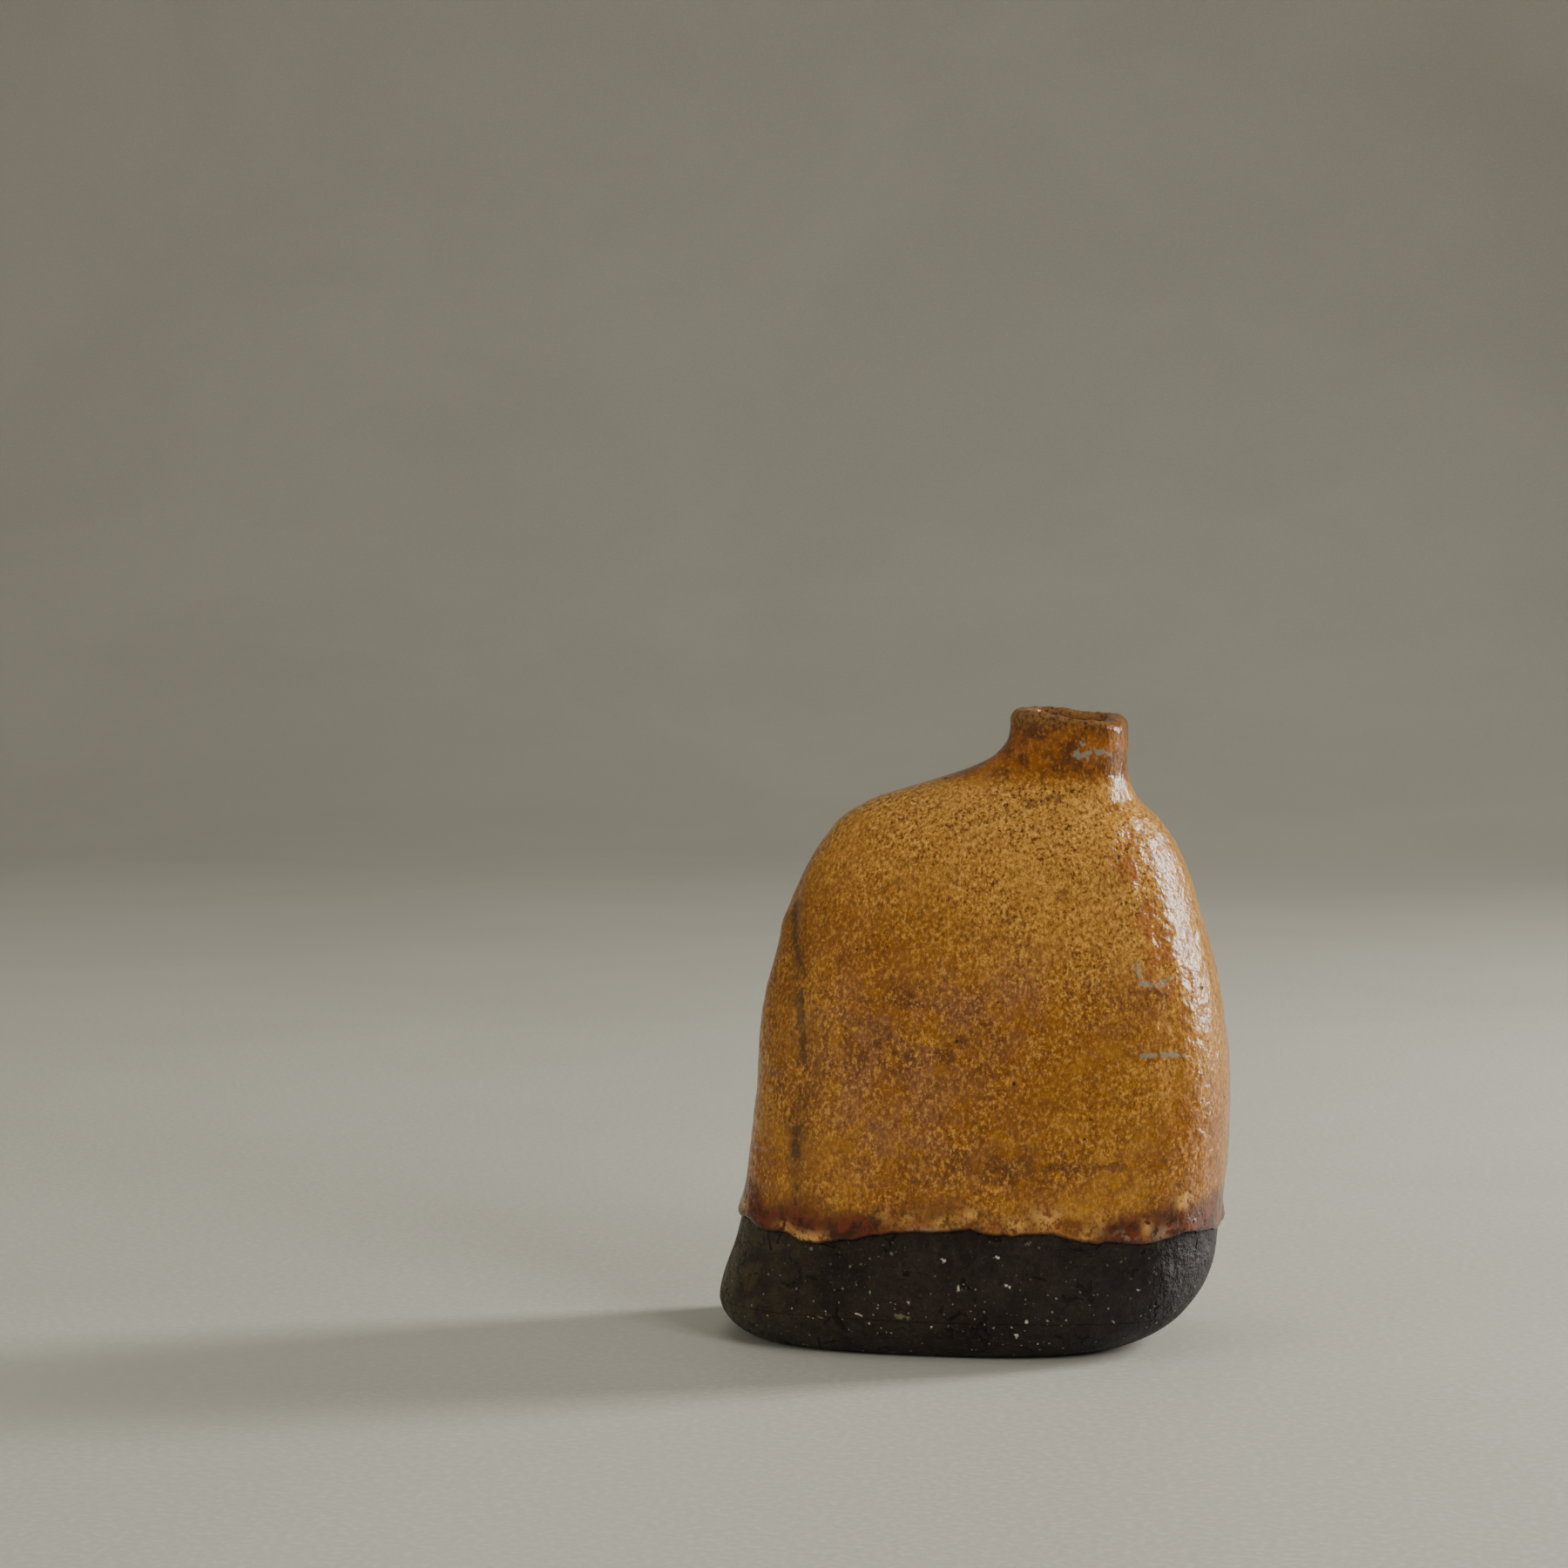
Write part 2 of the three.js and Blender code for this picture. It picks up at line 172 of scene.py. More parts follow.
# How much higher the coat stopped along the front: (x, rise), in millimetres
FRONT_RUN = [
    (-39, 0.3), (-30, 0), (-20, -1.1), (-12, 0.7), (-6, 1.4), (8, 1.5), (20, 1.4),
    (28, 0.4), (34, 1.2), (39, 1),
]


def glaze_edge(angle):
    """The height where the coat stopped running: a slow wander, then drips and bites."""
    wander = GLAZE_WAVE * (
        0.65 * np.sin(np.radians(2 * angle + 40)) + 0.35 * np.sin(np.radians(7 * angle - 25))
    )
    foot = clay_point(angle, np.full_like(angle, GLAZE_LINE))
    drips = grain(foot, 5.5, 11) * 0.75 + grain(foot, 1.9, 12) * 0.4
    corner = 1.3 * np.exp(-((turn_from(angle, -171)) / 16) ** 2)
    front = smoothstep(-foot[..., 1], 2, 8) * through(FRONT_RUN, foot[..., 0])
    return GLAZE_LINE + wander + drips + corner + front


def turn_from(angle, middle):
    return (angle - middle + 180) % 360 - 180


def grain(points, size, seed):
    """Smooth noise from about -1 to 1, with lumps of this size in millimetres."""
    flat = points.reshape(-1, 3) / size + 37.1 * seed
    values = [noise.noise(row) for row in flat.tolist()]
    return np.array(values).reshape(points.shape[:-1])


def left_seam_line(points, width):
    """The front left seam was pressed together unevenly, and runs almost plumb."""
    x, y, z = points[..., 0], points[..., 1], points[..., 2]
    line = -23.9 - 2.6 * smoothstep(z, 52, 68) + 0.7 * np.sin(z / 5.5) - 0.6 * smoothstep(z, 34, 24)
    near = np.exp(-((x - line) / width) ** 2)
    return near * smoothstep(-y, 1, 5) * (1 - smoothstep(z, 68, 76))


def hand_marks(angle, height, points):
    """How far the makers' hands pushed the face out or in, in millimetres."""
    slow = grain(points, 21, 1) * 0.34 + grain(points, 8.5, 2) * 0.13 + grain(points, 3.4, 3) * 0.08
    bend = 1.6 * np.sin(height / 9)
    left = left_seam_line(points, 1.25) * smoothstep(height, 20, 30)
    pits = 0.35 + 0.65 * smoothstep(grain(points, 6, 4), -0.35, 0.35)
    right = np.exp(-((turn_from(angle, SEAMS[1]) + bend) / 6) ** 2)
    right = right * smoothstep(height, 30, 44) * (1 - smoothstep(height, 70, 82))
    knuckles = grain(points, 4.4, 5) * 0.42
    back = np.exp(-(turn_from(angle, SEAMS[3]) / 4) ** 2)
    back = back + np.exp(-(turn_from(angle, SEAMS[2]) / 5) ** 2)
    back = back * smoothstep(height, 24, 34) * (1 - smoothstep(height, 64, 74))
    lump = np.exp(-(turn_from(angle, -168) / 14) ** 2 - ((height - 64) / 3.6) ** 2)
    push = slow - 0.75 * left * pits + right * knuckles - 0.25 * back * pits + 0.6 * lump
    on_neck = smoothstep(height, BODY_HEIGHT - 4, BODY_HEIGHT + 2)
    push = push * (1 - 0.45 * on_neck)
    return push * smoothstep(height, 0.6, 4)


# ---------------------------------------------------------------- building sheets

def even_angles(start, end, count, height=26):
    """Angles that lie evenly along the clay's face between two angles."""
    fine = np.linspace(start, end, 2000)
    path = clay_point(fine, np.full_like(fine, height))
    length = np.concatenate([[0], np.cumsum(np.linalg.norm(np.diff(path, axis=0), axis=1))])
    return np.interp(np.linspace(0, length[-1], count + 1), length, fine)


def sheet_of(points):
    """A bmesh grid moved onto rows of points in millimetres, and its vertices row by row."""
    rows, columns = points.shape[:2]
    rings = [[] for _ in range(rows)]
    sheet = bmesh.new()
    bmesh.ops.create_grid(sheet, x_segments=columns - 1, y_segments=rows - 1, size=0.5)
    sheet.verts.ensure_lookup_table()
    for vert in sheet.verts:
        column = round((vert.co.x + 0.5) * (columns - 1))
        row = round((vert.co.y + 0.5) * (rows - 1))
        vert.co = Vector(points[row, column]) * MM
        rings[row].append(vert)
    return sheet, rings


def keep(name, sheet, sharp=None):
    """Turns a finished bmesh into a piece at the origin, faces outward."""
    bmesh.ops.recalc_face_normals(sheet, faces=sheet.faces)
    if sheet.calc_volume(signed=True) < 0:
        bmesh.ops.reverse_faces(sheet, faces=sheet.faces)
    for face in sheet.faces:
        face.smooth = True
    mesh = bpy.data.meshes.new(name)
    sheet.to_mesh(mesh)
    sheet.free()
    if sharp:
        mesh.set_sharp_from_angle(angle=math.radians(sharp))
    piece = bpy.data.objects.new(name, mesh)
    bpy.context.scene.collection.objects.link(piece)
    return piece


def mark(piece, name, values):
    layer = piece.data.attributes.new(name, "FLOAT", "POINT")
    layer.data.foreach_set("value", np.asarray(values, np.float32))


def places_of(piece):
    flat = np.empty(len(piece.data.vertices) * 3)
    piece.data.vertices.foreach_get("co", flat)
    return flat.reshape(-1, 3) / MM


def angle_of(places):
    """The angle on the body's own outline for points on or near its face."""
    height = np.clip(places[:, 2], 0, RIM)
    left = clay_point(np.full_like(height, 180.0), height)[:, 0]
    right = clay_point(np.full_like(height, 0.0), height)[:, 0]
    face = clay_point(np.full_like(height, 90.0), height)[:, 1]
    across = (places[:, 0] - (left + right) / 2) / ((right - left) / 2)
    return np.degrees(np.arctan2(places[:, 1] / face, across))


# ---------------------------------------------------------------- clay pieces

SEAT = 0.03          # the hair line left between two pieces of clay
SEAM_TRIM = 0.045    # the same at a wall's upright ends, in degrees
NECK_SEAT = 0.15     # half the hair line between the walls and the collar
FOOT_BAND_TOP = 19   # the rows are closest below this height, where the clay is bare
WELD = 0.002         # points nearer than this are one point
SLAB_SHARP = 50      # edges sharper than this, in degrees, aren't smoothed over
COLLAR_SHARP = 60


def clay_face(angles, heights):
    angle, height = np.meshgrid(angles, heights)
    points = clay_point(angle, height)
    push = hand_marks(angle, height, points)
    return settle(points + clay_normal(angle, height) * push[..., None])


def build_floor_slab():
    angles = even_angles(-180, 180, 620, 5)
    outer = clay_face(angles, (FLOOR - SEAT) * np.linspace(1, 0, 38) ** 2)
    middle = outer.mean(axis=(0, 1))
    top = outer[0].copy()
    base = outer[-1].copy()
    rows = []
    for share in (0, 0.5, 0.9, 0.985):
        row = middle + (top - middle) * share
        row[:, 2] = top[:, 2]
        rows.append(row)
    rows.extend(outer)
    for share in (0.985, 0.93, 0.8, 0.5, 0):
        row = middle + (base - middle) * share
        row[:, 2] = 0
        rows.append(row)
    sheet = sheet_of(np.array(rows))[0]
    bmesh.ops.remove_doubles(sheet, verts=sheet.verts, dist=WELD * MM)
    return keep("floor_slab_clay", sheet, SLAB_SHARP)


def build_wall_slab(name, start, end, count):
    angles = even_angles(start + SEAM_TRIM, end - SEAM_TRIM, count)
    low = FLOOR + SEAT
    foot = np.linspace(low, FOOT_BAND_TOP, 44)
    upper = np.linspace(FOOT_BAND_TOP, BODY_HEIGHT - NECK_SEAT, 34)[1:]
    points = clay_face(angles, np.concatenate([foot, upper]))
    sheet = sheet_of(points)[0]
    bmesh.ops.recalc_face_normals(sheet, faces=sheet.faces)
    outward = Vector(clay_normal(np.array([(start + end) / 2]), np.array([40.0]))[0])
    sheet.faces.ensure_lookup_table()
    if sheet.faces[len(sheet.faces) // 2].normal.dot(outward) < 0:
        bmesh.ops.reverse_faces(sheet, faces=sheet.faces)
    bmesh.ops.solidify(sheet, geom=sheet.faces[:], thickness=WALL * MM)
    return keep(name, sheet, SLAB_SHARP)


def lip_points(angles, turn, offset):
    """A row round the lip, whose face has turned by this many degrees from outward."""
    height = np.full_like(angles, LIP_START)
    normal = clay_normal(angles, height)
    place = clay_point(angles, height)
    push = hand_marks(angles, height, place)
    cos, sin = math.cos(math.radians(turn)), math.sin(math.radians(turn))
    inset = LIP_ROUND * (1 - cos) if turn <= 90 else NECK_WALL - LIP_ROUND * (1 + cos)
    row = place + normal * (offset * cos - inset + push)[:, None]
    uneven = grain(place, 4.5, 6) * 0.3 + grain(place, 1.6, 7) * 0.12
    row[:, 2] += (LIP_ROUND + uneven + offset) * sin
    return settle(row)


def build_collar():
    angles = even_angles(-180, 180, 120, 92)
    heights = np.linspace(BODY_HEIGHT + NECK_SEAT, LIP_START, 14)
    zero = np.zeros_like(angles)
    rows = list(clay_face(angles, heights))
    rows += [lip_points(angles, turn, zero) for turn in (30, 60, 90, 120, 150)]
    for height in heights[::-1]:
        level = np.full_like(angles, height)
        inner = clay_point(angles, level) - clay_normal(angles, level) * NECK_WALL
        inner[:, 2] = np.maximum(inner[:, 2], BODY_HEIGHT + NECK_SEAT)
        rows.append(settle(inner))
    rows.append(rows[0])
    sheet = sheet_of(np.array(rows))[0]
    bmesh.ops.remove_doubles(sheet, verts=sheet.verts, dist=WELD * MM)
    return keep("neck_collar_clay", sheet, COLLAR_SHARP)


# ---------------------------------------------------------------- the glaze coat

CREASE_BELOW = 3.2
CREASE_ABOVE = 4.5
CREASE_PASSES = 90
BEAD = 0.6           # height of the rolled bead at the coat's lower edge
BEAD_FADE = 1.7      # height over which it thins to the coat
COAT_COLUMNS = 430
COAT_ROWS = 150


def fill_crease(sheet, rings):
    """The glaze and the wiped coil fill the corner at the neck's foot with a soft curve."""
    crease = []
    for ring in rings:
        ring = [vert for vert in ring if vert.is_valid]
        level = sum(vert.co.z for vert in ring) / max(len(ring), 1) / MM
        if BODY_HEIGHT - CREASE_BELOW < level < BODY_HEIGHT + CREASE_ABOVE:
            crease.extend(ring)
    for _ in range(CREASE_PASSES):
        bmesh.ops.smooth_vert(
            sheet, verts=crease, factor=0.5, use_axis_x=True, use_axis_y=True, use_axis_z=True
        )


def build_glaze_coat():
    angles = even_angles(-180, 180, COAT_COLUMNS, 40)
    edge = glaze_edge(angles)
    foot = clay_point(angles, edge)
    fat = 0.3 + 0.75 * smoothstep(grain(foot, 4, 13), -0.2, 0.45)

    def coat_row(height, offset):
        place = clay_point(angles, height)
        push = hand_marks(angles, height, place)
        melt = grain(place, 1.5, 8) * 0.05 + grain(place, 0.8, 9) * 0.022
        return settle(place + clay_normal(angles, height) * (push + offset + melt)[:, None])

    rows = []
    for turn in (0, 25, 50, 75, 90):
        sin, cos = math.sin(math.radians(turn)), math.cos(math.radians(turn))
        offset = 0.04 + (0.5 + fat * 0.45) * sin
        rise = BEAD * (1 - cos)
        rows.append(coat_row(edge + rise, offset))
    for step in np.linspace(0, 1, COAT_ROWS)[1:]:
        rise = lerp(BEAD, LIP_START - edge, step)
        relax = np.exp(-((rise - BEAD) / BEAD_FADE) ** 2)
        rows.append(coat_row(edge + rise, GLAZE - 0.06 + fat * 0.4 * relax))
    for turn in (15, 30, 45, 60, 75, 90, 105, 120, 135, 150, 165, 180):
        ripple = grain(clay_point(angles, np.full_like(angles, LIP_START - turn / 60)), 1.2, 10)
        rows.append(lip_points(angles, turn, GLAZE - 0.1 + ripple * 0.09))
    outer_rows = len(rows)
    hidden = np.full_like(angles, 0.1)
    for turn in (180, 135, 90, 45):
        rows.append(lip_points(angles, turn, hidden))
    for step in np.linspace(1, 0, 26)[:-1]:
        rise = (LIP_START - edge) * step
        place = clay_point(angles, edge + rise)
        push = hand_marks(angles, edge + rise, place)
        lift = clay_normal(angles, edge + rise) * (push + 0.05)[:, None]
        rows.append(settle(place + lift))
    rows.append(rows[0])
    sheet, rings = sheet_of(np.array(rows))
    bmesh.ops.remove_doubles(sheet, verts=sheet.verts, dist=WELD * MM)
    fill_crease(sheet, rings[:outer_rows])
    return keep("amber_glaze_coat", sheet)


# ---------------------------------------------------------------- node helpers

def add(tree, kind, inputs=None, **settings):
    """Adds a node; each input is a plain value or another node's output."""
    made = tree.nodes.new(kind)
    for name, value in settings.items():
        setattr(made, name, value)
    for key, value in (inputs or {}).items():
        if isinstance(value, bpy.types.NodeSocket):
            tree.links.new(value, made.inputs[key])
        else:
            made.inputs[key].default_value = value
    return made


def calc(tree, operation, first, second=0.0, third=0.0, clamp=False):
    inputs = {0: first, 1: second, 2: third}
    made = add(tree, "ShaderNodeMath", inputs, operation=operation, use_clamp=clamp)
    return made.outputs[0]


def times(tree, first, second):
    return calc(tree, "MULTIPLY", first, second)


def blend(tree, share, first, second, mode="MIX"):
    inputs = {0: share, 6: first, 7: second}
    made = add(tree, "ShaderNodeMix", inputs, data_type="RGBA", blend_type=mode)
    return made.outputs[2]


def ease(tree, value, low, high, start=0.0, end=1.0):
    inputs = {"Value": value, 1: low, 2: high, 3: start, 4: end}
    made = add(tree, "ShaderNodeMapRange", inputs, interpolation_type="SMOOTHSTEP")
    return made.outputs[0]


def cloud(tree, vector, scale, detail=2.0, rough=0.5, warp=0.0):
    inputs = {
        "Vector": vector, "Scale": scale, "Detail": detail, "Roughness": rough, "Distortion": warp,
    }
    return add(tree, "ShaderNodeTexNoise", inputs).outputs[0]


def cells(tree, vector, scale, feature="F1"):
    inputs = {"Vector": vector, "Scale": scale}
    return add(tree, "ShaderNodeTexVoronoi", inputs, feature=feature)


def read_mark(tree, name):
    return add(tree, "ShaderNodeAttribute", attribute_name=name).outputs["Fac"]


def colour(red, green, blue):
    """A glaze or clay colour, given as it looks on a screen, in linear light."""
    def linear(part):
        part /= 255
        return part / 12.92 if part <= 0.04045 else ((part + 0.055) / 1.055) ** 2.4
    return (linear(red), linear(green), linear(blue), 1)


def new_group(name, inputs, outputs):
    group = bpy.data.node_groups.new(name, "ShaderNodeTree")
    for label, kind, value in inputs:
        socket = group.interface.new_socket(label, in_out="INPUT", socket_type=kind)
        if value is not None:
            socket.default_value = value
    for label, kind in outputs:
        group.interface.new_socket(label, in_out="OUTPUT", socket_type=kind)
    entry = group.nodes.new("NodeGroupInput")
    leave = group.nodes.new("NodeGroupOutput")
    return group, entry, leave


def use(tree, group, inputs):
    return add(tree, "ShaderNodeGroup", inputs, node_tree=group)


FLOAT, VECTOR = "NodeSocketFloat", "NodeSocketVector"


def make_speckle():
    """Fine grains in a glaze or a clay: pale ones, dark ones, and the height they stand."""
    group, entry, leave = new_group(
        "speckle",
        [("Vector", VECTOR, None), ("Size", FLOAT, 2400.0), ("Amount", FLOAT, 0.5)],
        [("Pale", FLOAT), ("Dark", FLOAT), ("Height", FLOAT)],
    )
    vector, size, amount = entry.outputs["Vector"], entry.outputs["Size"], entry.outputs["Amount"]
    fine = cloud(group, vector, size, 3, 0.65)
    finer = cloud(group, vector, times(group, size, 2.3), 2, 0.6)
    both = calc(group, "ADD", times(group, fine, 0.65), times(group, finer, 0.35))
    reach = times(group, amount, 0.12)
    pale_from = calc(group, "SUBTRACT", 0.6, reach)
    dark_from = calc(group, "ADD", 0.4, reach)
    pale = ease(group, both, pale_from, calc(group, "ADD", pale_from, 0.12))
    dark = ease(group, both, dark_from, calc(group, "SUBTRACT", dark_from, 0.12))
    group.links.new(pale, leave.inputs["Pale"])
    group.links.new(dark, leave.inputs["Dark"])
    group.links.new(both, leave.inputs["Height"])
    return group


def make_mottle():
    """Soft patches, more or less of them, with an uneven edge."""
    group, entry, leave = new_group(
        "mottle",
        [
            ("Vector", VECTOR, None), ("Size", FLOAT, 60.0),
            ("Low", FLOAT, 0.45), ("High", FLOAT, 0.6),
        ],
        [("Mask", FLOAT)],
    )
    patches = cloud(group, entry.outputs["Vector"], entry.outputs["Size"], 4, 0.6, 0.4)
    mask = ease(group, patches, entry.outputs["Low"], entry.outputs["High"])
    group.links.new(mask, leave.inputs["Mask"])
    return group


def make_specks():
    """Round specks scattered through the clay or pits in the glaze, of uneven size."""
    group, entry, leave = new_group(
        "specks",
        [
            ("Vector", VECTOR, None), ("Size", FLOAT, 500.0),
            ("Share", FLOAT, 0.1), ("Radius", FLOAT, 0.3),
        ],
        [("Mask", FLOAT), ("Tint", FLOAT)],
    )
    spread = cells(group, entry.outputs["Vector"], entry.outputs["Size"])
    draw = add(group, "ShaderNodeSeparateColor", {0: spread.outputs["Color"]})
    chosen = calc(group, "LESS_THAN", draw.outputs[0], entry.outputs["Share"])
    radius = times(group, entry.outputs["Radius"], calc(group, "ADD", draw.outputs[1], 0.35))
    ragged = cloud(group, entry.outputs["Vector"], times(group, entry.outputs["Size"], 2.2), 2)
    shaken = times(group, calc(group, "SUBTRACT", ragged, 0.5), 0.55)
    away = calc(group, "ADD", spread.outputs["Distance"], shaken)
    inside = ease(group, away, radius, times(group, radius, 0.55))
    group.links.new(times(group, inside, chosen), leave.inputs["Mask"])
    group.links.new(draw.outputs[2], leave.inputs["Tint"])
    return group


def make_stroke():
    """A short smear or spot on one side of the vase, between two points, with ragged edges."""
    group, entry, leave = new_group(
        "stroke",
        [
            ("Vector", VECTOR, None), ("Start", VECTOR, None), ("End", VECTOR, None),
            ("Width", FLOAT, 0.001), ("Ragged", FLOAT, 0.5), ("Grain", FLOAT, 900.0),
        ],
        [("Mask", FLOAT)],
    )

    def vector_step(operation, first, second):
        return add(group, "ShaderNodeVectorMath", {0: first, 1: second}, operation=operation)

    start, end, width = entry.outputs["Start"], entry.outputs["End"], entry.outputs["Width"]
    flat = vector_step("MULTIPLY", entry.outputs["Vector"], (1, 0, 1))
    along = vector_step("SUBTRACT", end, start).outputs[0]
    out = vector_step("SUBTRACT", flat.outputs[0], start).outputs[0]
    length = calc(group, "MAXIMUM", vector_step("DOT_PRODUCT", along, along).outputs["Value"], 1e-9)
    passed = vector_step("DOT_PRODUCT", out, along).outputs["Value"]
    share = calc(group, "DIVIDE", passed, length, clamp=True)
    nearest = add(group, "ShaderNodeVectorMath", {0: along, 3: share}, operation="SCALE").outputs[0]
    away = vector_step("DISTANCE", out, nearest).outputs["Value"]
    torn = cloud(group, entry.outputs["Vector"], entry.outputs["Grain"], 3, 0.6)
    rough = calc(group, "SUBTRACT", torn, 0.5)
    shaken = times(group, times(group, rough, entry.outputs["Ragged"]), width)
    away = calc(group, "ADD", away, times(group, shaken, 4.0))
    inside = ease(group, away, width, times(group, width, 0.35))
    depth = add(group, "ShaderNodeSeparateXYZ", {0: entry.outputs["Vector"]}).outputs["Y"]
    front = calc(group, "LESS_THAN", depth, 0.0)
    group.links.new(times(group, inside, front), leave.inputs["Mask"])
    return group


speckle = make_speckle()
mottle = make_mottle()
specks = make_specks()
stroke = make_stroke()


def new_material(name):
    material = bpy.data.materials.new(name)
    material.use_nodes = True
    tree = material.node_tree
    shader = tree.nodes["Principled BSDF"]
    place = add(tree, "ShaderNodeTexCoord").outputs["Object"]
    return material, tree, shader, place


def smear(tree, place, marks, ragged=0.5, size=900.0):
    """The strongest of several strokes, each (x, z, x, z, width) in millimetres."""
    total = None
    for x0, z0, x1, z1, width in marks:
        inputs = {
            "Vector": place, "Start": (x0 * MM, 0, z0 * MM), "End": (x1 * MM, 0, z1 * MM),
            "Width": width * MM, "Ragged": ragged, "Grain": size,
        }
        mask = use(tree, stroke, inputs).outputs["Mask"]
        total = mask if total is None else calc(tree, "MAXIMUM", total, mask)
    return total


def patches(tree, place, size, low, high):
    inputs = {"Vector": place, "Size": size, "Low": low, "High": high}
    return use(tree, mottle, inputs).outputs["Mask"]


# ---------------------------------------------------------------- amber glaze

DARK_SMEARS = [
    (13.5, 29.2, 24.8, 29.8, 0.55), (1.3, 63.2, 1.4, 62.8, 0.9), (15.3, 69.7, 15.5, 69.5, 0.8),
    (9.5, 82.8, 14.5, 83.5, 0.7), (28.8, 54.4, 29.6, 54.2, 1.5), (-6, 26.7, -3.5, 27.1, 0.4),
]
SEAM_STAINS = [
    (-26.4, 66.5, -26.2, 61.5, 0.9), (-25.2, 60.5, -24.6, 58, 0.6), (-24.3, 54, -24, 47.5, 1.0),
    (-23.6, 48, -23.8, 43.5, 0.7), (-24.6, 33.5, -24.4, 30, 0.9), (-24.2, 25, -24.4, 22.5, 0.6),
]
ASH_MARKS = [
    (26.6, 59.4, 26.9, 56.8, 0.42), (26.9, 56.8, 29.3, 56.1, 0.5), (29.3, 56.1, 31.4, 57.3, 0.42),
    (26.9, 46.2, 29, 45.9, 0.42), (30.4, 46.1, 33, 45.8, 0.42), (16.8, 89.8, 21, 90.1, 0.6),
    (17.5, 91.4, 19, 90.9, 0.5),
]
PIN_HOLES = [
    (0.3, 47.8, 0.3, 47.8, 0.24), (8.9, 41.8, 8.95, 41.7, 0.24), (-10.5, 61.4, -10.5, 61.4, 0.18),
    (6.4, 53.7, 6.4, 53.7, 0.16), (20.2, 36.7, 20.2, 36.7, 0.17), (35.4, 55.2, 35.4, 55.2, 0.3),
]


